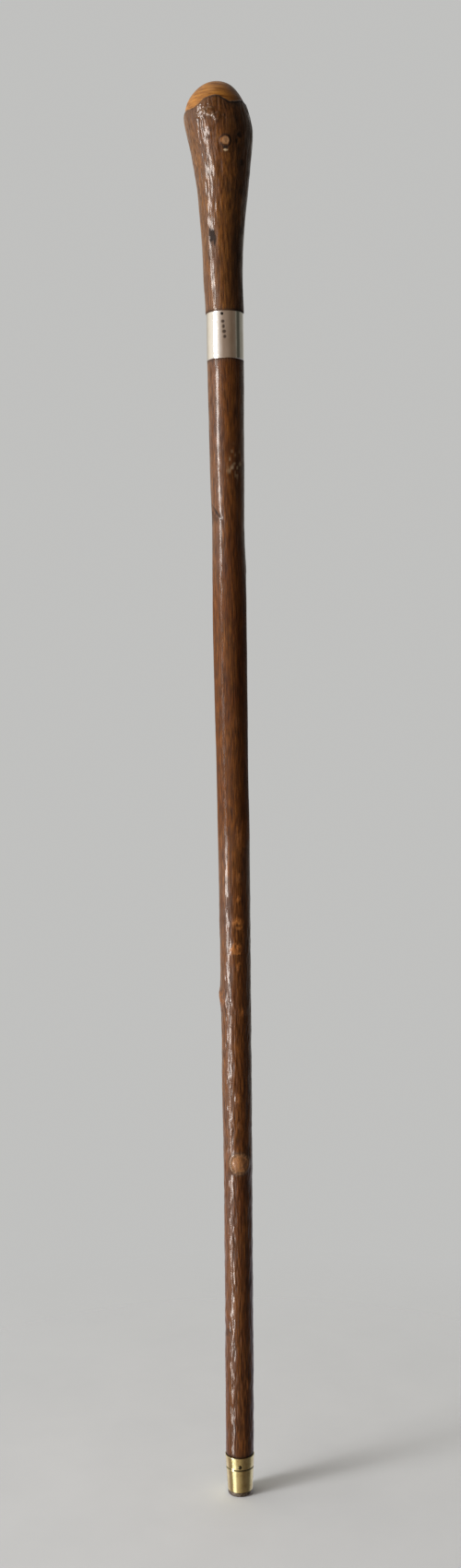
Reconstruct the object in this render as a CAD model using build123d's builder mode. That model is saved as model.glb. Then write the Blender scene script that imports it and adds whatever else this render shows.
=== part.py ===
"""Single point cane: a natural wood stick with a root-knob handle, a metal collar over the joint,
and a brass ferrule with an iron heel.

Frame: millimetres, origin at the centre of the heel's contact face, +Z up the stick, front at -Y.
"""

import os
from math import ceil, cos, exp, pi, radians, sin

from build123d import *

# ---------------------------------------------------------------- overall sizes
cane_length = 900.0
handle_length = 148.0

# ---------------------------------------------------------------- handle
handle_overhang = 0.7  # how far the wood stands out over the collar's top rim
handle_waist_diameter = 25.8
handle_waist_height = 24.0
handle_flare_diameter = 33.6
handle_flare_height = 82.0
knob_diameter = 43.2
knob_below_top = 32.0
knob_brow_diameter = 30.0
knob_brow_below_top = 7.0
handle_lean = 1.13  # degrees towards -X, from the collar upwards
handle_cut_room = 1.0  # how far the leaned handle runs past its shoulder before it is cut level

# ---------------------------------------------------------------- shaft
collar_step = 0.2  # how far the collar stands out over the wood below it
ferrule_step = 0.4  # how far the ferrule's mouth stands out over the wood above it
shaft_taper_power = 1.5
shaft_bow = 1.4
shaft_bow_skew = 0.75
shaft_bow_power = 1.5
shaft_section_spacing = 44.0
pinch_below_collar = 105.0
pinch_depth = 0.6
pinch_length = 26.0

# Trimmed knots: share of the shaft's length, bearing from +X in degrees, diameter, how far it stands out
knots = [
    (0.267, -84.0, 11.0, 1.1),
    (0.414, 176.0, 8.0, 0.9),
    (0.570, 8.0, 10.0, 0.8),
    (0.670, -62.0, 7.0, 0.6),
    (0.905, -66.0, 8.0, 0.5),
]
knot_root = 2.0  # how deep a knot's cone starts inside the wood
knot_slope = 18.0  # degrees that a knot's side leans in

# ---------------------------------------------------------------- collar and its pin
collar_length = 30.0
collar_diameter = 23.9
collar_wall = 0.6
collar_edge = 0.25
collar_pin_diameter = 1.2
collar_pin_length = 6.0
collar_pin_below_top = 2.1
collar_pin_bearing = -99.6
collar_pin_proud = 0.1

# ---------------------------------------------------------------- stud in the joint
stud_diameter = 8.0
stud_length = 70.0
stud_chamfer = 1.0
stud_end_room = 2.0

# ---------------------------------------------------------------- ferrule
heel_height = 2.5
heel_diameter = 15.6
heel_edge = 1.0
heel_stem_diameter = 5.0
heel_stem_length = 9.0
barrel_length = 22.4
barrel_mouth_diameter = 18.5
barrel_wall = 0.9
barrel_floor = 1.5
barrel_mouth_edge = 0.3
groove_below_mouth = 7.8
groove_width = 0.7
ferrule_pin_above_groove = 2.3
ferrule_pin_head_diameter = 2.6
ferrule_pin_head_height = 0.7
ferrule_pin_head_round = 0.5
ferrule_pin_shank_diameter = 1.4
ferrule_pin_length = 7.0
ferrule_pin_bearing = -91.0

# ---------------------------------------------------------------- heights and fits
barrel_top = heel_height + barrel_length
tenon_bottom = heel_height + barrel_floor
collar_top = cane_length - handle_length
collar_bottom = collar_top - collar_length
joint_height = (collar_top + collar_bottom) / 2
handle_base_diameter = collar_diameter + 2 * handle_overhang
shaft_top_diameter = collar_diameter - 2 * collar_step
shaft_foot_diameter = barrel_mouth_diameter - 2 * ferrule_step
shaft_length = collar_bottom - barrel_top
shaft_sections = ceil(shaft_length / shaft_section_spacing)
collar_bore_radius = collar_diameter / 2 - collar_wall
stud_hole_depth = stud_length / 2 + stud_end_room
groove_height = barrel_top - groove_below_mouth
ferrule_pin_height = groove_height + ferrule_pin_above_groove


def barrel_radius(height):
    """Outside radius of the tapered ferrule and heel at a height."""
    share = height / barrel_top
    return (heel_diameter + (barrel_mouth_diameter - heel_diameter) * share) / 2


def shaft_share(height):
    """How far up the bare shaft a height is, from 0 at the ferrule to 1 at the collar."""
    return (height - barrel_top) / shaft_length


def shaft_centre(height):
    """Sideways place of the shaft's middle: a single bow that dies out at both ends."""
    return shaft_bow * sin(pi * shaft_share(height) ** shaft_bow_skew) ** shaft_bow_power


def shaft_radius(height):
    """Radius of the shaft: thicker towards the collar, with one pinch a hand's breadth below it."""
    grown = (shaft_top_diameter - shaft_foot_diameter) * shaft_share(height) ** shaft_taper_power
    off_pinch = (height - (collar_bottom - pinch_below_collar)) / pinch_length
    return (shaft_foot_diameter + grown) / 2 - pinch_depth * exp(-(off_pinch**2))


def radial_plane(height, bearing, radius, centre=0.0):
    """A plane that faces outwards from the stick's middle at this bearing."""
    outward = Vector(cos(radians(bearing)), sin(radians(bearing)), 0)
    return Plane(origin=Vector(centre, 0, height) + outward * radius, z_dir=outward)


os.makedirs("parts", exist_ok=True)

collar_pin_seat = radial_plane(
    collar_top - collar_pin_below_top, collar_pin_bearing, collar_diameter / 2 + collar_pin_proud
)
ferrule_pin_head_top = ferrule_pin_height + ferrule_pin_head_diameter / 2
ferrule_pin_seat = radial_plane(
    ferrule_pin_height, ferrule_pin_bearing, barrel_radius(ferrule_pin_head_top)
)

# ---------------------------------------------------------------- knob handle
lean = radians(handle_lean)
handle_plane = Plane(origin=(0, 0, collar_top), x_dir=(cos(lean), 0, sin(lean)), z_dir=(0, -1, 0))
with BuildPart() as knob_handle:
    with BuildSketch(handle_plane):
        with BuildLine():
            side = Spline(
                (handle_base_diameter / 2, -handle_cut_room),
                (handle_waist_diameter / 2, handle_waist_height),
                (handle_flare_diameter / 2, handle_flare_height),
                (knob_diameter / 2, handle_length - knob_below_top),
                (knob_brow_diameter / 2, handle_length - knob_brow_below_top),
                (0, handle_length),
                tangents=[(0, 1), (-1, 0)],
            )
            Polyline(side @ 0, (0, -handle_cut_room), side @ 1)
        make_face()
    revolve(axis=Axis((0, 0, collar_top), (-sin(lean), 0, cos(lean))))
    split(bisect_by=Plane.XY.offset(collar_top), keep=Keep.TOP)
    with BuildSketch(Plane.XY.offset(joint_height)):
        Circle(collar_bore_radius)
    extrude(amount=collar_top - joint_height)
    with Locations(Plane(origin=(0, 0, joint_height), z_dir=(0, 0, -1))):
        Hole(stud_diameter / 2, depth=stud_hole_depth)
    with Locations(collar_pin_seat):
        Hole(collar_pin_diameter / 2, depth=collar_pin_length)
knob_handle.part.label = "knob_handle"
export_step(knob_handle.part, "parts/knob_handle.step")

# ---------------------------------------------------------------- cane shaft
with BuildPart() as cane_shaft:
    for section in range(shaft_sections + 1):
        height = barrel_top + shaft_length * section / shaft_sections
        with BuildSketch(Plane.XY.offset(height)):
            with Locations((shaft_centre(height), 0)):
                Circle(shaft_radius(height))
    loft()
    for share, bearing, diameter, proud in knots:
        height = barrel_top + shaft_length * share
        start = shaft_radius(height) - knot_root
        with BuildSketch(radial_plane(height, bearing, start, shaft_centre(height))):
            Circle(diameter / 2)
        extrude(amount=knot_root + proud, taper=knot_slope)
    with Locations((0, 0, tenon_bottom)):
        Cone(
            barrel_radius(tenon_bottom) - barrel_wall,
            barrel_radius(barrel_top) - barrel_wall,
            barrel_top - tenon_bottom,
            align=(Align.CENTER, Align.CENTER, Align.MIN),
        )
    with BuildSketch(Plane.XY.offset(collar_bottom)):
        Circle(collar_bore_radius)
    extrude(amount=joint_height - collar_bottom)
    with Locations((0, 0, joint_height)):
        Hole(stud_diameter / 2, depth=stud_hole_depth)
    with Locations(Plane(origin=(0, 0, tenon_bottom), z_dir=(0, 0, -1))):
        Hole(heel_stem_diameter / 2, depth=heel_stem_length - barrel_floor)
    with Locations(ferrule_pin_seat):
        Hole(ferrule_pin_shank_diameter / 2, depth=ferrule_pin_length)
cane_shaft.part.label = "cane_shaft"
export_step(cane_shaft.part, "parts/cane_shaft.step")

# ---------------------------------------------------------------- stud inside the joint
with BuildPart() as joint_stud:
    with Locations((0, 0, joint_height)):
        Cylinder(stud_diameter / 2, stud_length)
    chamfer(joint_stud.edges().filter_by(GeomType.CIRCLE), stud_chamfer)
joint_stud.part.label = "joint_stud"
export_step(joint_stud.part, "parts/joint_stud.step")

# ---------------------------------------------------------------- silver collar
with BuildPart() as silver_collar:
    with BuildSketch(Plane.XY.offset(collar_bottom)):
        Circle(collar_diameter / 2)
        Circle(collar_bore_radius, mode=Mode.SUBTRACT)
    extrude(amount=collar_length)
    rims = silver_collar.edges().filter_by(GeomType.CIRCLE).group_by(SortBy.RADIUS)[-1]
    fillet(rims, collar_edge)
    with Locations(collar_pin_seat):
        Hole(collar_pin_diameter / 2, depth=collar_pin_length)
silver_collar.part.label = "silver_collar"
export_step(silver_collar.part, "parts/silver_collar.step")

# ---------------------------------------------------------------- collar pin
with BuildPart() as collar_pin:
    with BuildSketch(collar_pin_seat):
        Circle(collar_pin_diameter / 2)
    extrude(amount=-collar_pin_length)
collar_pin.part.label = "collar_pin"
export_step(collar_pin.part, "parts/collar_pin.step")

# ---------------------------------------------------------------- brass ferrule
with BuildPart() as ferrule_barrel:
    with Locations((0, 0, heel_height)):
        Cone(
            barrel_radius(heel_height),
            barrel_radius(barrel_top),
            barrel_length,
            align=(Align.CENTER, Align.CENTER, Align.MIN),
        )
    mouth = ferrule_barrel.edges().filter_by(GeomType.CIRCLE).sort_by(Axis.Z)[-1]
    fillet(mouth, barrel_mouth_edge)
    with Locations((0, 0, tenon_bottom)):
        Cone(
            barrel_radius(tenon_bottom) - barrel_wall,
            barrel_radius(barrel_top) - barrel_wall,
            barrel_top - tenon_bottom,
            align=(Align.CENTER, Align.CENTER, Align.MIN),
            mode=Mode.SUBTRACT,
        )
    with Locations((0, 0, groove_height)):
        Torus(barrel_radius(groove_height), groove_width / 2, mode=Mode.SUBTRACT)
    with Locations((0, 0, tenon_bottom)):
        Hole(heel_stem_diameter / 2, depth=barrel_floor)
    with Locations(ferrule_pin_seat):
        Hole(ferrule_pin_shank_diameter / 2, depth=ferrule_pin_length)
ferrule_barrel.part.label = "ferrule_barrel"
export_step(ferrule_barrel.part, "parts/ferrule_barrel.step")

# ---------------------------------------------------------------- iron heel with its stem
with BuildPart() as ferrule_heel:
    Cone(
        barrel_radius(0),
        barrel_radius(heel_height),
        heel_height,
        align=(Align.CENTER, Align.CENTER, Align.MIN),
    )
    fillet(ferrule_heel.edges().filter_by(GeomType.CIRCLE).sort_by(Axis.Z)[0], heel_edge)
    with BuildSketch(Plane.XY.offset(heel_height)):
        Circle(heel_stem_diameter / 2)
    extrude(amount=heel_stem_length)
ferrule_heel.part.label = "ferrule_heel"
export_step(ferrule_heel.part, "parts/ferrule_heel.step")

# ---------------------------------------------------------------- ferrule pin
with BuildPart() as ferrule_pin:
    with BuildSketch(ferrule_pin_seat):
        Circle(ferrule_pin_shank_diameter / 2)
    extrude(amount=-ferrule_pin_length)
    with BuildSketch(ferrule_pin_seat):
        Circle(ferrule_pin_head_diameter / 2)
    extrude(amount=ferrule_pin_head_height)
    rounded = ferrule_pin.edges().filter_by(GeomType.CIRCLE).sort_by(Axis.Y)[0]
    fillet(rounded, ferrule_pin_head_round)
ferrule_pin.part.label = "ferrule_pin"
export_step(ferrule_pin.part, "parts/ferrule_pin.step")
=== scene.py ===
"""The looks of the single point cane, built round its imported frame.

Metres, +Z up the stick, front at -Y. Surface relief is worked out in millimetres and scaled at the end.
"""

import math

import bpy
import numpy as np
from mathutils import Matrix, Vector


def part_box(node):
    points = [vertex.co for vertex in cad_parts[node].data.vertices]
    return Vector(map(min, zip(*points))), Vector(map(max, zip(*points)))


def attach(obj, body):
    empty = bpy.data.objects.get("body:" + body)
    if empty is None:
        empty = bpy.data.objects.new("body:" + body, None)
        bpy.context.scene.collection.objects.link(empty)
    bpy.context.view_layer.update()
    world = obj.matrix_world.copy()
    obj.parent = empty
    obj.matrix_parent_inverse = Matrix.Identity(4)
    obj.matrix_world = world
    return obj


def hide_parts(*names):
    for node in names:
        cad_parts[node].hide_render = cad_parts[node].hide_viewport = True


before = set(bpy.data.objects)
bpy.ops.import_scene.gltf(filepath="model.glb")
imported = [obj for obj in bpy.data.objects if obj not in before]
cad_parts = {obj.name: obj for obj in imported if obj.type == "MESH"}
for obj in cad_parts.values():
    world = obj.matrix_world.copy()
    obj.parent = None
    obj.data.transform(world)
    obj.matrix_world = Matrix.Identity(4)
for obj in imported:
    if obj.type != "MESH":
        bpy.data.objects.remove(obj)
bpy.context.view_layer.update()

MM = 0.001

# ---------------------------------------------------------------- places from the frame, in millimetres
collar_low, collar_high = (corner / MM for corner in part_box("silver_collar"))
barrel_low, barrel_high = (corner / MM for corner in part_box("ferrule_barrel"))
heel_low, heel_high = (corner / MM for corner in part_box("ferrule_heel"))
shaft_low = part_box("cane_shaft")[0] / MM
knob_low, knob_high = (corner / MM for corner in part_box("knob_handle"))
collar_pin_low, collar_pin_high = (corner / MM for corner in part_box("collar_pin"))
ferrule_pin_low, ferrule_pin_high = (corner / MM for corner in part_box("ferrule_pin"))

collar_bottom, collar_top = collar_low.z, collar_high.z
collar_radius = (collar_high.x - collar_low.x) / 2
barrel_bottom, barrel_top = barrel_low.z, barrel_high.z
barrel_mouth_radius = (barrel_high.x - barrel_low.x) / 2
heel_radius = (heel_high.x - heel_low.x) / 2
tenon_bottom = shaft_low.z
joint_height = knob_low.z
knob_top = knob_high.z
knob_radius = (knob_high.y - knob_low.y) / 2
handle_length = knob_top - collar_top
shaft_length = collar_bottom - barrel_top

# ---------------------------------------------------------------- wood sizes, in millimetres
collar_wall = 0.55
barrel_wall = 0.88
wall_gap = 0.07  # between a metal wall and the wood inside it
handle_overhang = 0.35  # how far the handle's foot stands out past the collar
shaft_inset = 0.2  # how far the shaft's top lies within the collar's face
foot_inset = 0.4  # how far the shaft's foot lies within the ferrule's mouth
spigot_radius = collar_radius - collar_wall - wall_gap
tenon_radius = barrel_mouth_radius - barrel_wall - wall_gap
handle_base_radius = collar_radius + handle_overhang
shaft_top_radius = collar_radius - shaft_inset
shaft_foot_radius = barrel_mouth_radius - foot_inset
tenon_taper = 0.9
shaft_taper_power = 1.5
shaft_bow = 1.4
shaft_bow_skew = 0.75
shaft_bow_power = 1.5
pinch_below_collar = 105.0
pinch_depth = 0.6
pinch_length = 26.0


# ---------------------------------------------------------------- noise and shaping
# Large odd numbers that scatter a lattice point's place over 32 bits
SCATTER_X, SCATTER_Y, SCATTER_Z = 374761393, 668265263, 1440662683
SCATTER_SEED, SCATTER_AGAIN = 974634777, 1274126177
BITS_32, BITS_16 = 0xFFFFFFFF, 0xFFFF


def lattice(ix, iy, iz, seed):
    """A repeatable value from -1 to 1 at each point of a whole-number lattice."""
    mixed = (ix * SCATTER_X + iy * SCATTER_Y + iz * SCATTER_Z + seed * SCATTER_SEED) & BITS_32
    mixed = ((mixed ^ (mixed >> 13)) * SCATTER_AGAIN) & BITS_32
    return 2 * ((mixed ^ (mixed >> 16)) & BITS_16) / BITS_16 - 1


def noise(x, y, z, seed):
    """Smooth noise from -1 to 1, one unit across."""
    corner = [np.floor(v).astype(np.int64) for v in (x, y, z)]
    part = [v - c for v, c in zip((x, y, z), corner)]
    fade = [p * p * p * (p * (p * 6 - 15) + 10) for p in part]
    total = 0
    for dx in (0, 1):
        for dy in (0, 1):
            for dz in (0, 1):
                weight = abs(1 - dx - fade[0]) * abs(1 - dy - fade[1]) * abs(1 - dz - fade[2])
                total = total + weight * lattice(corner[0] + dx, corner[1] + dy, corner[2] + dz, seed)
    return total


def step(low, high, value):
    """0 below low, 1 above high, and smooth between them."""
    share = np.clip((value - low) / (high - low), 0, 1)
    return share * share * (3 - 2 * share)


def bell(value, width):
    """1 where the value is 0, and fading to 0 beyond this width on both sides."""
    return np.exp(-((value / width) ** 2))


# Pared wood, raw wood, dark stain and painted shade, worn dull, painted shade in the hollows between ridges,
# and pale flecks and painted glints
MARKS = ("pared", "raw", "dark", "dull", "hollow_shade", "fleck_and_glint")


class Skin:
    """A round surface as rings of points: angles across, heights along, all in millimetres.

    Bearings are degrees from the front, positive to the right seen from the front."""

    def __init__(self, heights, radii, centres, columns):
        turn = np.linspace(0, 2 * np.pi, columns, endpoint=False)
        self.height, self.turn = np.meshgrid(heights, turn, indexing="ij")
        self.radius = np.repeat(radii[:, None], columns, 1)
        self.centre = np.repeat(centres[:, None], columns, 1)
        self.base = self.radius.copy()
        self.marks = {name: np.zeros_like(self.height) for name in MARKS}

    def side(self):
        """Unit directions: to the right, and away from the front."""
        return np.sin(self.turn), -np.cos(self.turn)

    def noise(self, across, along, seed, bend=0.0):
        """Noise this many millimetres across and along, with its streaks bent sideways by up to bend."""
        right, away = self.side()
        x, y, z = right * self.base, away * self.base, self.height
        bend_across, bend_along = 9, 16
        if bend:
            x = x + bend * noise(x / bend_across, y / bend_across, z / bend_along, seed + 51)
            y = y + bend * noise(x / bend_across, y / bend_across, z / bend_along, seed + 52)
        return noise(x / across, y / across, z / along, seed)

    def reach(self, height, bearing):
        """How far each point is sideways and upwards from a place on the surface."""
        turned = (self.turn - math.radians(bearing) + np.pi) % (2 * np.pi) - np.pi
        return turned * self.base, self.height - height

    def spot(self, height, bearing, wide, tall, slant=0.0):
        """1 at a place on the surface, and fading to 0 beyond this width and height."""
        across, up = self.reach(height, bearing)
        across = across + slant * up
        return np.exp(-((2 * across / wide) ** 2) - (2 * up / tall) ** 2)

    def rim(self, height, bearing, wide, tall, edge, uneven=0.0):
        """1 along an oval of this width and height, and fading to 0 over edge on both sides."""
        across, up = self.reach(height, bearing)
        share = np.hypot(2 * across / wide, 2 * up / tall)
        if uneven:
            share = share * (1 + uneven * self.noise(1.8, 1.6, 61))
        return bell((share - 1) * (wide + tall) / 4, edge)

    def mark(self, name, amount):
        """Adds to one of the marks that the bark's material is painted by, which run from 0 to 1."""
        self.marks[name] = np.clip(self.marks[name] + amount, 0, 1)

    def points(self):
        """The surface as rings of x, y and z, lowest ring first."""
        right, away = self.side()
        return np.stack([self.centre + right * self.radius, away * self.radius, self.height], -1)


def turned_rings(outline, columns):
    """Rings for the (radius, height) pairs of a turned outline."""
    turn = np.linspace(0, 2 * np.pi, columns, endpoint=False)
    rings = []
    for radius, height in outline:
        rings.append(np.stack([np.sin(turn) * radius, -np.cos(turn) * radius, np.full(columns, height)], -1))
    return np.stack(rings)


def ring_mesh(name, rings, marks=None, tube=False):
    """A closed mesh from rings of points in millimetres.

    Each end has a flat cap, but in a tube the last ring joins the first one instead."""
    rows, columns = rings.shape[:2]
    index = np.arange(rows * columns).reshape(rows, columns)
    if tube:
        index = np.concatenate([index, index[:1]])
    after = np.roll(index, -1, 1)
    faces = np.stack([index[:-1], after[:-1], after[1:], index[1:]], -1).reshape(-1, 4).tolist()
    smooth = [True] * len(faces)
    if not tube:
        faces += [index[0][::-1].tolist(), index[-1].tolist()]
        smooth += [False, False]
    mesh = bpy.data.meshes.new(name)
    mesh.from_pydata((rings.reshape(-1, 3) * MM).tolist(), [], faces)
    mesh.polygons.foreach_set("use_smooth", smooth)
    for key, values in (marks or {}).items():
        layer = mesh.attributes.new(key, "FLOAT", "POINT")
        layer.data.foreach_set("value", values.reshape(-1).astype(np.float32))
    mesh.update()
    piece = bpy.data.objects.new(name, mesh)
    bpy.context.scene.collection.objects.link(piece)
    return piece


def with_ends(skin, lower, upper):
    """The skin's rings and marks, with turned ends below and above it."""
    columns = skin.height.shape[1]
    parts = [skin.points()]
    if lower:
        parts.insert(0, turned_rings(lower, columns))
    if upper:
        parts.append(turned_rings(upper, columns))
    marks = {}
    for key, values in skin.marks.items():
        below, above = (np.zeros((len(end), columns)) for end in (lower, upper))
        marks[key] = np.concatenate([below, values, above])
    return np.concatenate(parts), marks


# ---------------------------------------------------------------- shaft
SHAFT_COLUMNS = 144
SHAFT_ROWS = 680
foot_fade, collar_fade = 14, 10  # how far from each end the relief reaches its full depth
rugged_below, calm_above = 350, 400  # heights between which the bark grows calmer
calm_relief, rugged_relief = 0.6, 1.7  # strength of the relief, and what the rugged bark adds
worn_stretch = (392, 430, 560, 615)  # heights where the worn stretch fades in, and out again
worn_foot = (60, 110)  # heights between which the worn foot fades out

# Knots, scars and creases: height, bearing, width and height of the mark, how far it stands out,
# then how raw and how dark it is
SHAFT_SPOTS = [
    (655, 31, 9, 12, 0.35, 0.1, 0.4),
    (622, -64, 12, 10, -0.45, 0.0, 0.5),
    (492, 27, 6, 7, 0.35, 0.1, 0.3),
    (419, 38, 10, 22, 0.8, 0.2, 0.0),
    (393, 20, 3.4, 6, 0.4, 0.5, 0.2),
    (379, 16, 3.0, 5, 0.3, 0.7, 0.0),
    (364, 12, 8, 9, 0.45, 1.0, 0.0),
    (348, 2, 8, 9, 0.45, 1.0, 0.0),
    (337, 10, 4, 6, 0.25, 0.6, 0.0),
    (317, -86, 12, 13, 1.0, 0.4, 0.0),
    (308, 24, 5, 6, 0.35, 0.5, 0.0),
    (253, 6, 5, 7, 0.5, 0.3, 0.0),
    (236, 10, 4, 5, 0.3, 0.2, 0.2),
    (104, -60, 9, 7, -0.3, 0.0, 0.6),
    (72, 48, 5, 6, 0.35, 0.2, 0.4),
    (140, 150, 9, 12, 0.9, 0.5, 0.1),
    (268, -140, 10, 12, 1.0, 0.6, 0.0),
    (470, 172, 11, 13, 1.0, 0.5, 0.1),
    (590, 120, 9, 12, 0.8, 0.4, 0.1),
]


def shaft_centre(share):
    """How far the shaft bows to the right, by the share of its length above the ferrule."""
    return shaft_bow * np.sin(np.pi * share**shaft_bow_skew) ** shaft_bow_power


def shaft_radius(share):
    """Radius of the tapered shaft, with its pinch, by the same share."""
    grown = (shaft_top_radius - shaft_foot_radius) * share**shaft_taper_power
    off_pinch = shaft_length * (share - 1) + pinch_below_collar
    return shaft_foot_radius + grown - pinch_depth * bell(off_pinch, pinch_length)


def bark_relief(skin, strength, swell, spacing, length, ridge):
    """Short ridges with finer ones between them, and shallow cross ripples. Marks painted shade in the
    hollows.
    """
    fine_ridge, ripple_height = 0.042, 0.03  # millimetres, beside those of the ridges
    ridges = 1.5 * skin.noise(spacing, length, 11, bend=0.8)
    fine = skin.noise(0.65 * spacing, 0.8 * length, 12, bend=0.4)
    ripple = skin.noise(4.0, 9.0, 13)
    broad = skin.noise(14, 42, 14)
    skin.radius += strength * (ridge * ridges + fine_ridge * fine + ripple_height * ripple) + swell * broad
    skin.mark("hollow_shade", np.clip(0.5 - 0.8 * (0.6 * ridges + 0.6 * fine), 0, 1))


def cut_knot(skin, height, bearing, wide, tall, out):
    """A trimmed branch: a swollen collar of bark, a rounded rim, and a raw face domed by wear."""
    face_edge, groove_edge, dome_height = 0.86, 0.92, 0.75
    swell = skin.spot(height, bearing, wide * 1.7, tall * 1.7)
    rim = skin.rim(height, bearing, wide, tall, 0.10 * wide)
    across, up = skin.reach(height, bearing)
    share = np.hypot(2 * across / wide, 2 * up / tall)
    face = step(0.93, 0.82, share)
    dome = np.clip(1 - (share / face_edge) ** 2, 0, 1)
    skin.radius += out * (0.75 * swell + 0.5 * rim) + dome_height * dome
    skin.mark("raw", (0.60 + 0.3 * skin.noise(1.6, 1.6, 26)) * face + 0.35 * rim)
    skin.mark("fleck_and_glint", 0.08 * face + 0.12 * rim)
    rings = np.cos(share * 17 + 1.2 * skin.noise(2.5, 2.5, 24)) * face
    skin.mark("dark", 0.6 * bell(share - groove_edge, 0.06) + 0.16 * rings)
    skin.mark("dark", 0.6 * skin.rim(height, bearing, wide * 1.2, tall * 1.2, 0.06 * wide))
    skin.mark("hollow_shade", -0.8 * face)


def make_shaft():
    """The bark-covered shaft, with its knots, a tenon inside the ferrule and a spigot in the collar."""
    heights = np.linspace(barrel_top, collar_bottom, SHAFT_ROWS)
    share = (heights - barrel_top) / shaft_length
    skin = Skin(heights, shaft_radius(share), shaft_centre(share), SHAFT_COLUMNS)
    above_foot = skin.height - barrel_top
    below_collar = collar_bottom - skin.height
    ends = step(0, foot_fade, above_foot) * step(0, collar_fade, below_collar)
    rugged = step(calm_above, rugged_below, skin.height)
    lively = calm_relief + rugged_relief * rugged + 0.25 * skin.noise(20, 60, 15)
    bark_relief(skin, ends * lively, swell=ends * 0.24, spacing=1.0, length=5.5, ridge=0.042)
    rough_edge = 1 + 0.85 * skin.noise(1.5, 2.2, 21)
    patchy = 0.85 + 0.4 * skin.noise(1.2, 1.5, 23)
    for height, bearing, wide, tall, out, raw, dark in SHAFT_SPOTS:
        here = skin.spot(height, bearing, wide, tall)
        skin.radius += out * here * (0.8 + 0.4 * rough_edge * (out > 0))
        skin.mark("raw", raw * patchy * step(0.3, 0.7, here * rough_edge))
        skin.mark("dark", dark * step(0.3, 0.8, here * rough_edge))
    cut_knot(skin, height=212, bearing=7, wide=11.6, tall=12.0, out=1.35)
    crease = skin.spot(height=625, bearing=-46, wide=2.6, tall=13, slant=0.9)
    skin.radius -= 0.35 * crease
    # Painted shade in the crease.
    skin.mark("dark", 0.8 * step(0.3, 0.8, crease))
    scar = skin.spot(height=655, bearing=31, wide=11, tall=15)
    skin.mark("fleck_and_glint", 0.5 * step(0.1, 0.55, skin.noise(1.6, 2.6, 22)) * scar)
    skin.radius -= 0.3 * bell(above_foot, 0.7)
    # Painted shade where the wood goes into the ferrule's mouth, and a painted shadow under the collar's
    # rim.
    skin.mark("dark", 0.8 * bell(above_foot, 1.6))
    skin.mark("dark", 0.6 * bell(below_collar, 1.8))
    start, full, still, end = worn_stretch
    skin.mark("dull", 0.9 * step(start, full, skin.height) * step(end, still, skin.height))
    skin.mark("dull", 0.4 * step(worn_foot[1], worn_foot[0], skin.height))
    lower = [(tenon_radius - tenon_taper, tenon_bottom), (tenon_radius, barrel_top)]
    upper = [(spigot_radius, collar_bottom), (spigot_radius, joint_height)]
    rings, marks = with_ends(skin, lower, upper)
    return ring_mesh("bark_shaft", rings, marks)


# ---------------------------------------------------------------- handle
HANDLE_COLUMNS = 288
HANDLE_ROWS = 330
flare_share = 0.66  # share of the rings that lie below the knob's fullest height
crest_height = handle_length - 32.0
crest_skew = 5.0  # the knob is fullest higher up on the left than on the right
crest_softness = 0.6
flare_power = 2.35
dome_power = 2.4
dome_fullness = 1.012
top_gap = 0.004  # keeps the last ring open
neck_lean, knob_lean = -0.75, -2.75  # how far the neck, and then the knob, leans sideways
pared_edge = 127.8  # height above the collar where the bark is cut away, at the left
pared_edge_rise = 5.6  # how much higher it is at the front
pared_depth = 0.55

# Flaws, scars and knots: height above the collar, bearing, width, height, how far it stands out,
# then how raw and how dark it is
HANDLE_SPOTS = [
    (46, -31, 5.6, 12.4, -0.25, 0.0, 1.0),
    (36, -35, 6, 8, -0.1, 0.1, 0.45),
    (109, 38, 3.0, 3.4, -0.3, 0.0, 0.6),
    (105, 33, 2.4, 3.8, -0.3, 0.0, 0.6),
    (93, 47, 2.6, 4.6, -0.3, 0.0, 0.5),
    (104.5, 2.5, 3.4, 3.8, 0.35, 1.0, 0.0),
    (112, -16, 3.4, 3.2, 0.35, 0.0, 0.3),
    (107, -22, 3.0, 3.0, 0.3, 0.0, 0.3),
    (118, 30, 3.0, 4.0, 0.3, 0.1, 0.2),
    (70, 150, 7, 9, 0.8, 0.5, 0.1),
    (108, -130, 6, 7, 0.7, 0.4, 0.2),
    (96, 110, 5, 6, 0.6, 0.3, 0.3),
]

# The pale round knot of the knob: height above the collar, bearing
ROUND_KNOT = (104.5, 10)

# Small burrs under the pared edge: height above the collar, bearing, size
HANDLE_BURRS = [
    (122.6, -13, 5.2),
    (121.4, -29, 4.6),
    (119.0, -2, 4.2),
    (121.5, -39, 3.0),
    (124.0, -20, 2.6),
    (119, 128, 4.4),
    (117, 150, 3.6),
    (120, -150, 4.2),
]


def handle_outline(rise):
    """Radius of the handle at a height above the collar."""
    flare = handle_base_radius + (knob_radius - handle_base_radius) * (rise / crest_height) ** flare_power
    up_dome = np.clip((rise - crest_height) / (handle_length - crest_height), 0, 1)
    dome = dome_fullness * knob_radius * np.sqrt(1 - up_dome**dome_power)
    crest = flare - crest_softness * np.log(np.exp((flare - dome) / crest_softness) + 1)
    return np.where(up_dome > 0.5, dome, crest)


def handle_centre(rise):
    """How far the handle's middle lies to the right at a height above the collar."""
    return neck_lean * step(0, 25, rise) + knob_lean * step(72, 150, rise)


def handle_skin():
    """The bare shape of the handle above the collar, a little lumpy and fuller on one side."""
    below = np.linspace(0, crest_height, int(HANDLE_ROWS * flare_share), endpoint=False)
    quarter = np.linspace(0, math.pi / 2, HANDLE_ROWS - len(below))
    rises = np.concatenate([below, crest_height + (handle_length - crest_height) * np.sin(quarter)])
    rises[-1] = handle_length - top_gap
    skin = Skin(collar_top + rises, handle_outline(rises), handle_centre(rises), HANDLE_COLUMNS)
    rise = skin.height - collar_top
    right, _ = skin.side()
    lean = crest_skew * right * step(50, 100, rise) * step(handle_length, 118, rise)
    skin.radius = handle_outline(np.clip(rise + lean, 0, handle_length - top_gap))
    skin.base = skin.radius.copy()
    lump = skin.noise(17, 22, 31) * step(0, 30, rise) * step(handle_length, 125, rise)
    skin.radius += 0.22 * lump
    return skin


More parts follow.
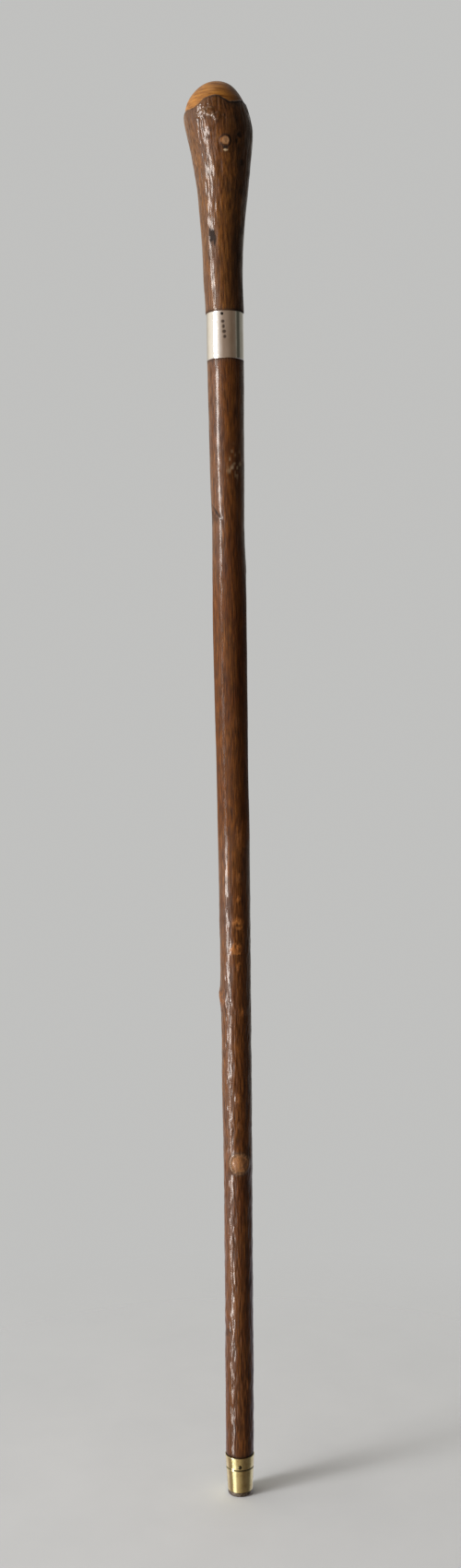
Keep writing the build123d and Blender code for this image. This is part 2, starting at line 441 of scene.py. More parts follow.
def pare_top(skin, rise, bearing):
    """Bark relief, and above its wavy edge the pared top.

    Gives back how far above the edge each point is, and how pared it is."""
    scallop = 1.2 * skin.noise(7, 400, 32) + 0.6 * skin.noise(3, 400, 33)
    dip = 3.6 * bell(bearing - 25, 13)
    front = step(-55, -5, bearing) * step(180, 50, bearing)
    over_edge = rise - (pared_edge + pared_edge_rise * front - dip + scallop)
    pared = step(-0.35, 0.35, over_edge)
    strength = (1 - pared) * step(0, 10, rise) * (0.8 + 1.1 * step(45, 75, rise))
    bark_relief(skin, strength, swell=0.2 * (1 - pared), spacing=1.4, length=10, ridge=0.058)
    skin.radius -= pared_depth * step(-0.8, 0.6, over_edge) * step(handle_length, 140, rise)
    skin.marks["hollow_shade"] *= 1 - pared
    facets = np.abs(skin.noise(11, 9, 34))
    skin.radius -= 0.18 * pared * facets * step(handle_length, 141, rise)
    return over_edge, pared


def raise_burr(skin, place, size):
    """An uneven little mound in a broken ring, with painted shade in the hollows inside and around it, and a
    faint painted glint along the ring.
    """
    broken = 0.65 + 0.5 * skin.noise(1.3, 1.3, 62)
    ring = skin.rim(*place, size, size * 0.9, size * 0.17, uneven=0.6)
    inner = skin.rim(*place, size * 0.62, size * 0.56, size * 0.12, uneven=0.6)
    outer = skin.rim(*place, size * 1.4, size * 1.3, size * 0.2, uneven=0.6)
    glint_ring = skin.rim(*place, size, size * 0.9, size * 0.12, uneven=0.6)
    skin.radius += 0.6 * broken * ring
    skin.radius += 0.6 * skin.spot(*place, size * 0.9, size * 0.8)
    # Painted shade in the hollows inside and around the mound.
    skin.mark("hollow_shade", 1.5 * inner)
    skin.mark("hollow_shade", 1.6 * broken * outer)
    # A faint painted glint along the ring.
    skin.mark("fleck_and_glint", 0.06 * broken * glint_ring)


def mark_round_knot(skin, knot):
    """The pale round knot of the knob, with a painted shadow in the dip beneath it and a painted glint on
    the lump below that.
    """
    height, toward = knot
    face_wide, face_tall = 5.2, 4.9
    shadow_down, lump_down, glint_down = 4.1, 6.0, 5.6
    skin.radius += 0.4 * skin.spot(*knot, wide=7.5, tall=8.5)
    skin.radius += 0.25 * skin.rim(*knot, wide=5.4, tall=5.6, edge=0.6)
    skin.radius += 0.35 * skin.spot(height - lump_down, toward, wide=4.2, tall=2.4)
    ragged = 1 + 0.16 * skin.noise(1.3, 1.3, 39)
    across, up = skin.reach(*knot)
    face = step(1.0, 0.8, np.hypot(2 * across / face_wide, 2 * up / face_tall) * ragged)
    skin.mark("raw", face)
    skin.mark("fleck_and_glint", 0.22 * face)
    skin.mark("hollow_shade", -face)
    skin.mark("dark", 0.75 * skin.rim(*knot, wide=6.6, tall=7.0, edge=0.55) * (1 - face))
    # Painted shadow in the dip beneath the knot.
    hollow_shade = skin.spot(height - shadow_down, toward, wide=5.0, tall=2.4)
    skin.mark("dark", 0.9 * step(0.4, 0.8, hollow_shade))
    # A painted glint on the lump below it.
    fleck_and_glint = skin.spot(height - glint_down, toward, wide=4.0, tall=1.7)
    skin.mark("fleck_and_glint", 0.9 * step(0.45, 0.8, fleck_and_glint))


def shade_handle(skin, rise, bearing, over_edge, pared):
    """Painted shade: a dark cut line, fainter on the left, darker bark under it, and the right side, of the
    bark and of the pared top, as dark as the photograph has it.
    """
    bark = 1 - pared
    # Painted shade along the pared edge, fainter on the lit left.
    cut_line_shade = bell(over_edge + 0.8, 0.75) * (0.75 + 0.25 * skin.noise(3, 3, 36))
    skin.mark("dark", cut_line_shade * (0.35 + 0.45 * step(-50, 0, bearing)))
    mottled = 0.75 + 0.35 * skin.noise(4, 6, 37)
    # Painted shade on the bark just under the pared edge.
    under_edge_shade = step(-8.5, -3.5, over_edge) * step(-75, -50, bearing) * step(120, 60, bearing)
    skin.mark("hollow_shade", 0.7 * under_edge_shade * bark * mottled)
    # Painted shade on the bark's right side.
    right_side_shade = step(-8, 36, bearing + 6 * skin.noise(5, 14, 38)) * step(108, 66, bearing)
    skin.mark("dark", 0.72 * right_side_shade * bark * mottled)
    # Painted shade on the right side of the pared top.
    pared_right_shade = step(12, 62, bearing) * step(118, 76, bearing) * step(handle_length, 144, rise)
    skin.mark("dark", 0.62 * pared_right_shade * pared)


def make_handle():
    """The bark-covered handle and knob, with its pared top and a spigot in the collar."""
    skin = handle_skin()
    rise = skin.height - collar_top
    bearing = np.degrees((skin.turn + np.pi) % (2 * np.pi) - np.pi)
    over_edge, pared = pare_top(skin, rise, bearing)
    rough_edge = 1 + 0.65 * skin.noise(0.9, 3.0, 35)
    for height, toward, wide, tall, out, raw, dark in HANDLE_SPOTS:
        here = skin.spot(collar_top + height, toward, wide, tall)
        skin.radius += out * here
        skin.mark("raw", raw * step(0.35, 0.75, here * rough_edge))
        skin.mark("dark", dark * step(0.25, 0.6, here * rough_edge))
    for height, toward, size in HANDLE_BURRS:
        raise_burr(skin, (collar_top + height, toward), size)
    mark_round_knot(skin, (collar_top + ROUND_KNOT[0], ROUND_KNOT[1]))
    shade_handle(skin, rise, bearing, over_edge, pared)
    skin.mark("pared", pared)
    skin.radius -= 0.25 * bell(rise, 0.7)
    # Painted shade where the handle's foot meets the collar.
    skin.mark("dark", 0.6 * bell(rise, 1.2))
    lower = [(spigot_radius, joint_height), (spigot_radius, collar_top)]
    rings, marks = with_ends(skin, lower, [])
    return ring_mesh("bark_handle", rings, marks)


# ---------------------------------------------------------------- metal pieces
METAL_COLUMNS = 256
NAIL_COLUMNS = 48
punch_depth, punch_stain = 0.12, 0.85


def lathe(name, outline, dents, seed, punches=(), lines=(), tube=False):
    """A turned piece from an outline of (radius, height) pairs that runs round its whole section.

    Tarnish is marked in the punch marks, and along lines at given heights and widths. In a tube the
    section closes on itself, and otherwise its ends are capped."""
    rings = turned_rings(outline, METAL_COLUMNS)
    x, y, z = rings[..., 0], rings[..., 1], rings[..., 2]
    reach = np.hypot(x, y)
    outer = step(0.90, 0.96, reach / reach.max())  # dents and punch marks keep to the outside
    change = dents * noise(x / 5, y / 5, z / 6, seed) * outer
    stain = np.zeros_like(z)
    for height, width in lines:
        stain += bell(z - height, width)
    for height, sideways, wide, tall in punches:
        away = np.hypot((x - sideways) / wide, (z - height) / tall)
        here = np.exp(-(away**6)) * (y < 0) * outer
        change = change - punch_depth * here
        stain += punch_stain * here
    rings[..., :2] *= (1 + change / np.maximum(reach, 0.1))[..., None]
    return ring_mesh(name, rings, {"tarnish": np.clip(stain, 0, 1)}, tube)


def arc(centre_radius, centre_height, size, start, end, steps):
    """(radius, height) pairs along an arc, with angles from the outward direction towards up."""
    angles = np.radians(np.linspace(start, end, steps))
    return [(centre_radius + size * math.cos(a), centre_height + size * math.sin(a)) for a in angles]


def make_collar():
    """A thin band with both rims rolled in to a small bead, and four plain round punch marks."""
    bead = 0.3
    rim = collar_radius - bead
    groove, face = collar_radius - 0.06, collar_radius - 0.05
    bore = collar_radius - collar_wall
    face_bottom, face_top = collar_bottom + 1.3, collar_top - 1.3
    outline = arc(rim, collar_bottom + bead, bead, -180, 10, 14)
    outline += [(groove, collar_bottom + 1.0)]
    outline += [(face, z) for z in np.linspace(face_bottom, face_top, 130)]
    outline += [(groove, collar_top - 1.0)]
    outline += arc(rim, collar_top - bead, bead, -10, 180, 14)
    outline += [(bore, z) for z in np.linspace(collar_top - bead, collar_bottom + bead, 6)]
    sizes = [(1.15, 1.05), (0.9, 1.3), (1.25, 1.2), (1.05, 1.15)]
    first_down, spacing = 7.0, 3.2
    first_right, drift = -1.2, 0.35
    punches = []
    for k, (wide, tall) in enumerate(sizes):
        punches.append((collar_top - first_down - spacing * k, first_right + drift * k, wide, tall))
    rims = [(collar_bottom + 0.75, 0.14), (collar_top - 0.75, 0.14)]
    return lathe("polished_collar", outline, dents=0.012, seed=41, punches=punches, lines=rims, tube=True)


def barrel_radius(height):
    """Outside radius of the tapered ferrule at a height."""
    mouth = barrel_mouth_radius + 0.02
    share = (height - barrel_bottom) / (barrel_top - barrel_bottom)
    return heel_radius + (mouth - heel_radius) * share


def make_barrel():
    """The tapered brass tube with its rounded mouth and one turned line."""
    bead, bevel = 0.22, 0.12
    stem_radius = 2.5
    line_below_pin, line_depth, line_width = 2.3, 0.4, 0.28
    lip_height, lip_offset, lip_width = 0.04, 0.55, 0.16
    groove = (ferrule_pin_low.z + ferrule_pin_high.z) / 2 - line_below_pin
    outline = [(barrel_radius(barrel_bottom) - bevel, barrel_bottom)]
    below = np.linspace(barrel_bottom + bevel, groove - 0.7, 50)
    around = np.linspace(groove - 0.6, groove + 0.6, 31)
    above = np.linspace(groove + 0.7, barrel_top - bead - 0.1, 24)
    for z in np.concatenate([below, around, above]):
        cut = line_depth * bell(z - groove, line_width)
        lips = lip_height * bell(abs(z - groove) - lip_offset, lip_width)
        outline.append((barrel_radius(z) - cut + lips, z))
    outline += arc(barrel_radius(barrel_top) - bead - 0.01, barrel_top - bead, bead, 0, 180, 12)
    outline += [(barrel_radius(z) - barrel_wall, z) for z in np.linspace(barrel_top - 0.6, tenon_bottom, 8)]
    outline += [(stem_radius, tenon_bottom), (stem_radius, barrel_bottom)]
    lines = [(groove, 0.44), (barrel_bottom + 0.1, 0.25)]
    return lathe("brass_ferrule", outline, dents=0.015, seed=42, lines=lines, tube=True)


def make_heel():
    """The iron wearing tip: a low disc with a worn, rounded edge, and the stem above it."""
    top, edge, worn_off = barrel_bottom, 1.0, 0.08
    radius = heel_radius - worn_off
    foot = radius - edge
    stem_radius = 2.45
    outline = [(foot * s, 0.0) for s in (0.05, 0.4, 0.7, 0.9, 0.97)]
    outline += arc(foot, edge, edge, -90, 0, 14)
    outline += [(radius + 0.03, z) for z in np.linspace(edge + 0.2, top - 0.15, 5)]
    outline += [(radius - 0.05, top), (stem_radius, top), (stem_radius, heel_high.z)]
    return lathe("iron_heel", outline, dents=0.09, seed=43)


def pin_side(low, high):
    """Sideways place of a pin's outer end, which is further from the middle than its point."""
    middle = (low.x + high.x) / 2
    radius = (high.z - low.z) / 2
    nearly_central = 1
    return low.x + radius if middle < -nearly_central else middle


def make_nail(name, low, high, head_radius, dome, sink, seed):
    """A nail in the box of a CAD pin, aimed outward, whose round head has its rim at the pin's face."""
    length = high.y - low.y
    shank_radius, flat_radius, head_edge = 0.55 * head_radius, 0.005, 0.05
    outline = [(shank_radius, dome - length), (shank_radius, -sink - head_edge), (head_radius, -sink)]
    bend = np.linspace(0, math.pi / 2, 12)
    outline += [(head_radius * math.cos(b) + flat_radius, -sink + dome * math.sin(b)) for b in bend]
    rings = turned_rings(outline, NAIL_COLUMNS)
    x, y, z = rings[..., 0], rings[..., 1], rings[..., 2]
    uneven = 1 + 0.05 * noise(x * 1.3, y * 1.3, z, seed)
    piece = ring_mesh(name, np.stack([x * uneven, y * uneven, z], -1))
    outward = Vector((pin_side(low, high), low.y, 0)).normalized()
    turn = outward.to_track_quat("Z", "Y").to_matrix().to_4x4()
    head = Vector((pin_side(low, high), low.y, (low.z + high.z) / 2))
    piece.data.transform(Matrix.Translation(head * MM) @ turn)
    return piece


# ---------------------------------------------------------------- materials
# The mix node's colour sockets, which share their names with its number sockets
MIX_FIRST, MIX_SECOND, MIX_RESULT = 6, 7, 2
# How far one more on a noise's seed moves it, so that no two noises look the same
SEED_SHIFT = (3.1, 1.7, 2.3)


class Paint:
    """A material and the few node kinds that it is mixed from."""

    def __init__(self, name, **sockets):
        self.material = bpy.data.materials.new(name)
        self.material.use_nodes = True
        self.tree = self.material.node_tree
        self.shader = self.tree.nodes["Principled BSDF"]
        for key, value in sockets.items():
            self.shader.inputs[key.replace("_", " ")].default_value = value
        self.place = self.node("ShaderNodeTexCoord").outputs["Object"]

    def node(self, kind, **settings):
        """A new node of this kind, with its settings."""
        made = self.tree.nodes.new(kind)
        for key, value in settings.items():
            setattr(made, key, value)
        return made

    def link(self, value, socket):
        """Feeds a socket from another one, or gives it a number or a colour."""
        if isinstance(value, bpy.types.NodeSocket):
            self.tree.links.new(value, socket)
        elif isinstance(value, tuple) and len(value) == 3 and socket.type == "RGBA":
            socket.default_value = (*value, 1)
        else:
            socket.default_value = value

    def mark(self, name):
        """One of the marks on the mesh, from 0 to 1."""
        return self.node("ShaderNodeAttribute", attribute_name=name).outputs["Fac"]

    def noise(self, across, along, detail=3.0, rough=0.55, bend=0.0, seed=0.0):
        """Noise from 0 to 1 with features this many millimetres across and along the stick."""
        stretch = self.node("ShaderNodeMapping")
        self.link(self.place, stretch.inputs["Vector"])
        stretch.inputs["Scale"].default_value = (1 / (across * MM), 1 / (across * MM), 1 / (along * MM))
        stretch.inputs["Location"].default_value = [seed * shift for shift in SEED_SHIFT]
        made = self.node("ShaderNodeTexNoise")
        self.link(stretch.outputs["Vector"], made.inputs["Vector"])
        made.inputs["Scale"].default_value = 1.0
        made.inputs["Detail"].default_value = detail
        made.inputs["Roughness"].default_value = rough
        made.inputs["Distortion"].default_value = bend
        return made.outputs["Fac"]

    def ramp(self, value, *stops):
        """A colour or grey ramp from (place, colour or grey) pairs."""
        made = self.node("ShaderNodeValToRGB")
        self.link(value, made.inputs["Fac"])
        band = made.color_ramp
        while len(band.elements) < len(stops):
            band.elements.new(1.0)
        for element, (place, colour) in zip(band.elements, stops):
            element.position = place
            element.color = (*colour, 1) if isinstance(colour, tuple) else (colour, colour, colour, 1)
        return made.outputs["Color"]

    def mix(self, share, first, second, way="MIX"):
        """A share of the second colour over the first one."""
        made = self.node("ShaderNodeMix", data_type="RGBA", blend_type=way)
        self.link(share, made.inputs["Factor"])
        self.link(first, made.inputs[MIX_FIRST])
        self.link(second, made.inputs[MIX_SECOND])
        return made.outputs[MIX_RESULT]

    def multiply(self, first, second):
        """Two colours or greys multiplied."""
        return self.mix(1.0, first, second, "MULTIPLY")

    def math(self, way, first, second):
        """Two numbers or sockets through a math node of this kind."""
        made = self.node("ShaderNodeMath", operation=way)
        self.link(first, made.inputs[0])
        self.link(second, made.inputs[1])
        return made.outputs["Value"]

    def bump(self, height, strength, depth):
        """Fine relief, with its depth in millimetres."""
        made = self.node("ShaderNodeBump")
        made.inputs["Strength"].default_value = strength
        made.inputs["Distance"].default_value = depth * MM
        self.link(height, made.inputs["Height"])
        self.link(made.outputs["Normal"], self.shader.inputs["Normal"])

    def set(self, key, value):
        """Feeds one of the shader's sockets."""
        self.link(value, self.shader.inputs[key])


SILVER_TARNISH = (0.10, 0.085, 0.075)
BRASS_TARNISH = (0.030, 0.022, 0.010)
# Pale flecks, and painted glints on the burr rims and under the round knot
FLECK_AND_GLINT_COLOUR = (0.62, 0.50, 0.33)
# Painted shade in the bark's hollows, then dark stains and flaws together with painted shade
HOLLOW_SHADE_COLOUR = (0.014, 0.005, 0.002)
STAIN_AND_SHADE_COLOUR = (0.010, 0.006, 0.005)
hollow_shade_share, stain_and_shade_share = 0.38, 0.93  # how much of each colour shows where its mark is full


def bark_colour(paint, streaks, threads, specks, tint):
    """Brown streaks, tinted in broad clouds, with dark threads, specks, and painted shade in the hollows."""
    clouds = paint.noise(12, 34, detail=3, seed=3)
    bark = paint.ramp(
        streaks,
        (0.30, (0.060, 0.0178, 0.0030)),
        (0.44, (0.103, 0.0340, 0.0050)),
        (0.56, (0.138, 0.0490, 0.0074)),
        (0.72, (0.190, 0.0760, 0.0135)),
    )
    cloudy = paint.ramp(
        clouds,
        (0.35, (0.85, 0.76, 0.70)),
        (0.50, (1.0, 1.0, 1.0)),
        (0.68, (1.15, 1.12, 0.90)),
    )
    bark = paint.multiply(bark, cloudy)
    bark = paint.multiply(bark, paint.ramp(threads, (0.32, 0.50), (0.60, 1.18)))
    bark = paint.multiply(bark, paint.ramp(specks, (0.25, 0.65), (0.42, 1.0)))
    bark = paint.multiply(bark, tint)
    hollow_shade = paint.math("MULTIPLY", paint.mark("hollow_shade"), hollow_shade_share)
    return paint.mix(hollow_shade, bark, HOLLOW_SHADE_COLOUR)


def raw_colour(paint):
    """The orange-brown wood of a cut or rubbed knot."""
    return paint.ramp(
        paint.noise(0.7, 1.4, detail=3, bend=0.6, seed=5),
        (0.30, (0.13, 0.040, 0.008)),
        (0.52, (0.29, 0.105, 0.022)),
        (0.75, (0.44, 0.20, 0.055)),
    )


def pared_colour(paint):
    """The golden pared wood of the knob's top, with its grain across and fine pores."""
    grain = paint.noise(9.0, 1.1, detail=4, rough=0.55, bend=0.6, seed=6)
    pores = paint.noise(0.35, 0.5, detail=2, seed=7)
    pale = paint.ramp(
        grain,
        (0.30, (0.130, 0.046, 0.008)),
        (0.45, (0.255, 0.104, 0.018)),
        (0.60, (0.345, 0.150, 0.028)),
        (0.78, (0.430, 0.205, 0.048)),
    )
    return paint.multiply(pale, paint.ramp(pores, (0.3, 0.75), (0.5, 1.0)))


def bark_gloss(paint, threads, flaw_and_shade):
    """How rough the wood is, and how much oil shines on it: least where it is dull, dark or pared."""
    patchy = paint.noise(2.4, 6.5, detail=3, seed=8)
    matt = paint.math("MAXIMUM", paint.mark("dull"), flaw_and_shade)
    rough = paint.ramp(patchy, (0.35, 0.34), (0.55, 0.42), (0.75, 0.55))
    rough = paint.math("ADD", rough, paint.math("MULTIPLY", matt, 0.3))
    paint.set("Roughness", paint.math("MINIMUM", rough, 0.85))
    matt = paint.math("MAXIMUM", matt, paint.math("MULTIPLY", paint.mark("pared"), 0.75))
    gloss = paint.ramp(patchy, (0.35, 0.95), (0.6, 0.65), (0.75, 0.15))
    gloss = paint.multiply(gloss, paint.ramp(threads, (0.36, 0.15), (0.52, 1.0)))
    paint.set("Coat Weight", paint.math("MULTIPLY", gloss, paint.math("SUBTRACT", 1.0, matt)))


def bark_bump(paint, streaks, threads, specks):
    """Fine relief of the bark, which nearly vanishes on the pared top."""
    relief = paint.math("MULTIPLY", paint.math("ADD", threads, streaks), 0.9)
    relief = paint.math("ADD", relief, paint.math("MULTIPLY", specks, 0.12))
    bark_only = paint.math("SUBTRACT", 1.0, paint.math("MULTIPLY", paint.mark("pared"), 0.85))
    paint.bump(paint.math("MULTIPLY", relief, bark_only), strength=0.8, depth=0.22)


def bark_paint(name, tint):
    """Oiled bark with fine streaks, raw knots, dark flaws, painted shade, pale flecks and painted glints
    and, on the handle, the pared top.
    """
    paint = Paint(name, IOR=1.5, Specular_IOR_Level=0.2, Coat_Roughness=0.08, Coat_IOR=1.5)
    streaks = paint.noise(0.9, 15, detail=4, bend=0.2, seed=1)
    threads = paint.noise(0.5, 8, detail=3, seed=2)
    specks = paint.noise(0.7, 1.2, detail=2, seed=4)
    flaw_and_shade = paint.mark("dark")
    wood = bark_colour(paint, streaks, threads, specks, tint)
    wood = paint.mix(paint.mark("raw"), wood, raw_colour(paint))
    wood = paint.mix(paint.mark("pared"), wood, pared_colour(paint))
    # Pale flecks, and painted glints.
    wood = paint.mix(paint.mark("fleck_and_glint"), wood, FLECK_AND_GLINT_COLOUR)
    # Dark stains and flaws, and painted shade.
    paint.set("Base Color", paint.mix(paint.math("MULTIPLY", flaw_and_shade, stain_and_shade_share), wood, STAIN_AND_SHADE_COLOUR))
    bark_gloss(paint, threads, flaw_and_shade)
    bark_bump(paint, streaks, threads, specks)
    return paint.material


def silver_paint():
    """Old polished silver: fine scratches, faint tarnish, and darker at the rims and punch marks."""
    paint = Paint("old_silver", Metallic=1.0, IOR=1.5, Specular_IOR_Level=0.5)
    haze = paint.noise(5, 9, detail=4, seed=11)
    scratches = paint.noise(0.9, 0.05, detail=2, seed=12)
    hairs = paint.noise(0.12, 3.0, detail=2, bend=0.4, seed=13)
    tone = paint.ramp(
        haze,
        (0.30, (0.80, 0.76, 0.70)),
        (0.55, (0.90, 0.88, 0.84)),
        (0.75, (0.94, 0.93, 0.90)),
    )
    tone = paint.multiply(tone, paint.ramp(hairs, (0.3, 0.94), (0.6, 1.0)))
    paint.set("Base Color", paint.mix(paint.mark("tarnish"), tone, SILVER_TARNISH))
    paint.set("Roughness", paint.ramp(haze, (0.3, 0.16), (0.6, 0.09), (0.8, 0.13)))
    paint.bump(paint.math("ADD", scratches, hairs), strength=0.10, depth=0.015)
    return paint.material


def brass_paint(name, tone):
    """Worn brass with turned rings, scuffs and brown patches."""
    paint = Paint(name, Metallic=1.0, IOR=1.5)
    patches = paint.noise(3.5, 5, detail=5, rough=0.6, seed=21)
    turned = paint.noise(40, 0.16, detail=2, seed=22)
    scuffs = paint.noise(0.25, 1.6, detail=3, bend=0.5, seed=23)
    worn = tuple(c * tone for c in (0.80, 0.72, 0.40))
    brown = tuple(c * tone for c in (0.64, 0.54, 0.27))
    bright = tuple(min(1, c * 1.12) for c in worn)
    colour = paint.ramp(patches, (0.32, brown), (0.5, worn), (0.72, bright))
    colour = paint.multiply(colour, paint.ramp(scuffs, (0.28, 0.85), (0.5, 1.0)))
    paint.set("Base Color", paint.mix(paint.mark("tarnish"), colour, BRASS_TARNISH))
    paint.set("Roughness", paint.ramp(patches, (0.3, 0.22), (0.7, 0.12)))
    relief = paint.math("ADD", turned, paint.math("MULTIPLY", scuffs, 0.8))
    paint.bump(relief, strength=0.2, depth=0.02)
    return paint.material


def iron_paint(name, light):
    """Dark iron, scuffed brighter where it wears."""
    paint = Paint(name, Metallic=0.85, IOR=1.5)
    rust = paint.noise(1.6, 1.4, detail=5, rough=0.65, seed=31)
    scuffs = paint.noise(0.3, 0.3, detail=3, seed=32)
    dark = tuple(c * light for c in (0.035, 0.026, 0.020))
    dull = tuple(c * light for c in (0.10, 0.085, 0.072))
    bright = tuple(c * light for c in (0.26, 0.235, 0.21))
    colour = paint.ramp(rust, (0.30, dark), (0.52, dull), (0.74, bright))
    paint.set("Base Color", paint.multiply(colour, paint.ramp(scuffs, (0.3, 0.7), (0.6, 1.1))))
    paint.set("Roughness", paint.ramp(rust, (0.3, 0.5), (0.7, 0.27)))
    paint.bump(paint.math("ADD", rust, scuffs), strength=0.35, depth=0.10)
    return paint.material


def dress(piece, material, slot, *nodes):
    """Gives a piece its material and its body, and hides the CAD nodes that it stands for; its slot is not
    used.
    """
    piece.data.materials.clear()
    piece.data.materials.append(material)
    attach(piece, "root")
    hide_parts(*nodes)


# ---------------------------------------------------------------- floor, light and camera
def make_floor():
    """A pale floor that fades out with distance from the stick, so that no edge or horizon shows."""
    sides, radius = 96, 3.0
    fade_start, fade_end = 0.05, 0.45
    cool, pale = (0.685, 0.73, 0.78), (0.72, 0.765, 0.815)
    turn = np.linspace(0, 2 * math.pi, sides, endpoint=False)
    mesh = bpy.data.meshes.new("pale_floor")
    rim = [(radius * math.cos(a), radius * math.sin(a), 0.0) for a in turn]
    mesh.from_pydata(rim, [], [list(range(sides))])
    floor = bpy.data.objects.new("pale_floor", mesh)
    bpy.context.scene.collection.objects.link(floor)
    paint = Paint("pale_floor", Roughness=0.9)
    paint.set("Base Color", paint.ramp(paint.noise(60, 60, seed=41), (0.3, cool), (0.7, pale)))
    distance = paint.node("ShaderNodeVectorMath", operation="LENGTH")
    paint.link(paint.place, distance.inputs[0])
    near = paint.ramp(distance.outputs["Value"], (fade_start, 1.0), (fade_end, 0.0))
    mirrored = paint.node("ShaderNodeLightPath").outputs["Is Glossy Ray"]
    near = paint.math("MULTIPLY", near, paint.math("SUBTRACT", 1.0, mirrored))
    clear = paint.node("ShaderNodeBsdfTransparent")
    both = paint.node("ShaderNodeMixShader")
    paint.link(near, both.inputs[0])
    paint.link(clear.outputs[0], both.inputs[1])
    paint.link(paint.shader.outputs[0], both.inputs[2])
    paint.link(both.outputs[0], paint.tree.nodes["Material Output"].inputs["Surface"])
    mesh.materials.append(paint.material)


# Bearing in degrees from the camera's side, positive to the right, with what stands there
SURROUNDINGS = [
    (-180, (0.48, 0.48, 0.47)),
    (-150, (0.52, 0.48, 0.42)),
    (-114, (0.90, 0.82, 0.70)),
    (-80, (0.98, 0.92, 0.84)),
    (-42, (0.95, 0.88, 0.82)),
    (-34, (0.58, 0.50, 0.45)),
    (-24, (0.48, 0.39, 0.33)),
    (-14, (0.31, 0.23, 0.18)),
    (10, (0.24, 0.175, 0.13)),
    (40, (0.13, 0.09, 0.062)),
    (66, (0.13, 0.10, 0.075)),
    (71, (0.19, 0.17, 0.14)),
    (78, (0.06, 0.058, 0.045)),
    (96, (0.05, 0.048, 0.038)),
    (104, (0.17, 0.16, 0.135)),
    (124, (0.22, 0.21, 0.18)),
    (146, (0.34, 0.33, 0.31)),
    (162, (0.62, 0.61, 0.58)),
    (180, (0.48, 0.48, 0.47)),
]
# The same, for what stands lower than the stick
UNDERSIDE = [
    (-180, (0.40, 0.40, 0.42)),
    (-134, (0.86, 0.80, 0.86)),
    (-112, (0.60, 0.50, 0.52)),
    (-98, (0.30, 0.22, 0.18)),
    (-84, (0.30, 0.23, 0.18)),
    (-68, (0.45, 0.40, 0.33)),
    (-60, (1.60, 1.55, 1.45)),
    (-42, (1.60, 1.55, 1.45)),
    (-30, (0.62, 0.52, 0.42)),
    (-8, (0.40, 0.31, 0.22)),
    (14, (0.22, 0.17, 0.12)),
    (32, (0.13, 0.095, 0.07)),
    (78, (0.10, 0.08, 0.065)),
    (96, (0.16, 0.14, 0.12)),
    (110, (0.46, 0.44, 0.48)),
    (134, (0.62, 0.60, 0.68)),
    (180, (0.40, 0.40, 0.42)),
]
BACKDROP = (0.53, 0.53, 0.52)
WINDOW_COLOUR = (1.0, 0.95, 0.90)


def make_surroundings():
    """A pale plain backdrop, and a soft room around the stick for light and reflections."""
    level_down_to, under_from = -0.24, -0.40  # how steeply down a direction points
    world = bpy.data.worlds.new("soft_room")
    bpy.context.scene.world = world
    world.use_nodes = True
    tree = world.node_tree
    make = tree.nodes.new
    place = make("ShaderNodeTexCoord").outputs["Generated"]
    split = make("ShaderNodeSeparateXYZ")
    tree.links.new(place, split.inputs[0])
    turned = make("ShaderNodeMath")
    turned.operation = "ARCTAN2"
    tree.links.new(split.outputs["X"], turned.inputs[0])
    facing = make("ShaderNodeMath")
    facing.operation = "MULTIPLY"
    facing.inputs[1].default_value = -1
    tree.links.new(split.outputs["Y"], facing.inputs[0])
    tree.links.new(facing.outputs[0], turned.inputs[1])
    share = make("ShaderNodeMapRange")
    share.inputs["From Min"].default_value = -math.pi
    share.inputs["From Max"].default_value = math.pi
    tree.links.new(turned.outputs[0], share.inputs["Value"])
    level = ring_of_colours(tree, share.outputs[0], SURROUNDINGS)
    under = ring_of_colours(tree, share.outputs[0], UNDERSIDE)
    lowness = make("ShaderNodeMapRange")
    lowness.inputs["From Min"].default_value = level_down_to
    lowness.inputs["From Max"].default_value = under_from
    tree.links.new(split.outputs["Z"], lowness.inputs["Value"])
    room = mix_of_colours(tree, lowness.outputs[0], level, under)
    seen = make("ShaderNodeLightPath").outputs["Is Camera Ray"]
    plain = make("ShaderNodeRGB").outputs[0]
    plain.default_value = (*BACKDROP, 1)
    shown = mix_of_colours(tree, seen, room, plain)
    tree.links.new(shown, tree.nodes["Background"].inputs["Color"])


def ring_of_colours(tree, share, stops):
    """Colours by bearing, as a ramp over a share of the full turn."""
    ramp = tree.nodes.new("ShaderNodeValToRGB")
    tree.links.new(share, ramp.inputs["Fac"])
    while len(ramp.color_ramp.elements) < len(stops):
        ramp.color_ramp.elements.new(1.0)
    for element, (bearing, colour) in zip(ramp.color_ramp.elements, stops):
        element.position = (bearing + 180) / 360
        element.color = (*colour, 1)
    return ramp.outputs["Color"]


def mix_of_colours(tree, share, first, second):
    """A share of the second colour over the first one."""
    choose = tree.nodes.new("ShaderNodeMix")
    choose.data_type = "RGBA"
    tree.links.new(share, choose.inputs["Factor"])
    tree.links.new(first, choose.inputs[MIX_FIRST])
    tree.links.new(second, choose.inputs[MIX_SECOND])
    return choose.outputs[MIX_RESULT]


def make_window(name, bearing, width, low, high, power):
    """A soft upright panel of light at a bearing from the camera's side, facing the stick.

    Its bearing and width are in degrees, and its lower and upper edges in metres."""
    distance = 2.2
    lamp = bpy.data.lights.new(name, "AREA")
    lamp.shape = "RECTANGLE"
    lamp.size = 2 * distance * math.tan(math.radians(width / 2))
    lamp.size_y = high - low
    lamp.energy = power
    lamp.color = WINDOW_COLOUR
    panel = bpy.data.objects.new(name, lamp)
    angle = math.radians(bearing)
    middle = (low + high) / 2
    panel.location = (math.sin(angle) * distance, -math.cos(angle) * distance, middle)
    aim = Vector((0, 0, middle)) - panel.location
    panel.rotation_euler = aim.to_track_quat("-Z", "Y").to_euler()
    bpy.context.scene.collection.objects.link(panel)


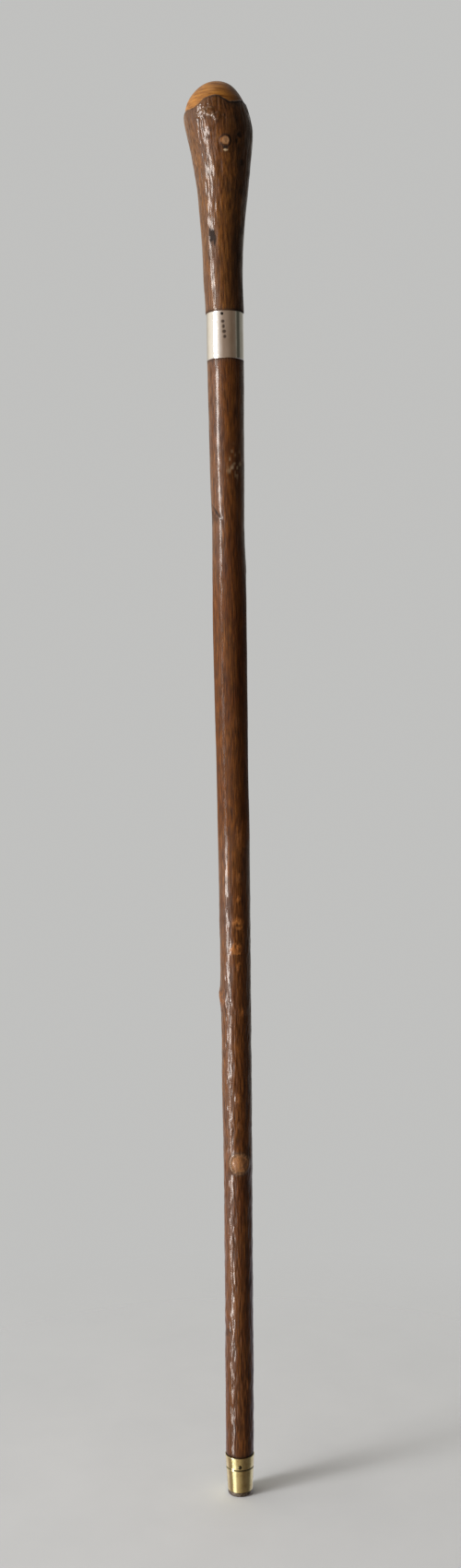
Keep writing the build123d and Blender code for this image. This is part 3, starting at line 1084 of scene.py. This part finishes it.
def make_camera():
    """A camera square to the stick, rolled a little, whose frame runs further below than above."""
    distance, height, sideways, roll = 1.03, 0.51, 0.0004, math.radians(0.75)
    frame_height = 1001.7 * MM  # at the stick
    frame_shift = -0.0579  # as a share of the frame's height, downward
    sensor = 36.0
    data = bpy.data.cameras.new("camera")
    data.sensor_width = sensor
    data.lens = sensor * distance / frame_height
    data.shift_y = frame_shift
    data.dof.use_dof = False
    camera = bpy.data.objects.new("camera", data)
    camera.location = (sideways, -distance, height)
    upright = Matrix.Rotation(math.pi / 2, 3, "X")
    camera.rotation_euler = (Matrix.Rotation(roll, 3, "Y") @ upright).to_euler()
    bpy.context.scene.collection.objects.link(camera)
    bpy.context.scene.camera = camera


# ---------------------------------------------------------------- the scene
make_camera()
make_floor()
make_surroundings()
make_window("window_low", bearing=-59, width=15, low=-1.1, high=1.15, power=62)
make_window("window_high", bearing=-66, width=13, low=1.15, high=2.3, power=26)

handle_bark = bark_paint("handle_bark", tint=(1.0, 1.03, 0.85))
shaft_bark = bark_paint("shaft_bark", tint=(0.84, 0.77, 0.64))
worn_brass = brass_paint("worn_brass", tone=1.0)
pin_brass = brass_paint("pin_brass", tone=0.14)
heel_iron = iron_paint("dark_iron", light=1.7)
pin_iron = iron_paint("dark_pin", light=0.25)
stud_steel = iron_paint("stud_steel", light=2.5)

dress(make_handle(), handle_bark, "handle_wood", "knob_handle")
dress(make_shaft(), shaft_bark, "shaft_wood", "cane_shaft")
dress(make_collar(), silver_paint(), "collar_silver", "silver_collar")
dress(make_barrel(), worn_brass, "ferrule_brass", "ferrule_barrel")
dress(make_heel(), heel_iron, "heel_iron", "ferrule_heel")
collar_nail = make_nail("collar_nail", collar_pin_low, collar_pin_high, 0.95, dome=0.16, sink=0.0, seed=51)
dress(collar_nail, pin_iron, "collar_pin_steel", "collar_pin")
ferrule_nail = make_nail("ferrule_nail", ferrule_pin_low, ferrule_pin_high, 1.3, dome=0.7, sink=0.7, seed=52)
dress(ferrule_nail, pin_brass, "ferrule_pin_brass", "ferrule_pin")
hidden_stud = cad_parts["joint_stud"]
hidden_stud.data.materials.clear()
hidden_stud.data.materials.append(stud_steel)

bpy.context.scene.view_settings.view_transform = "Standard"
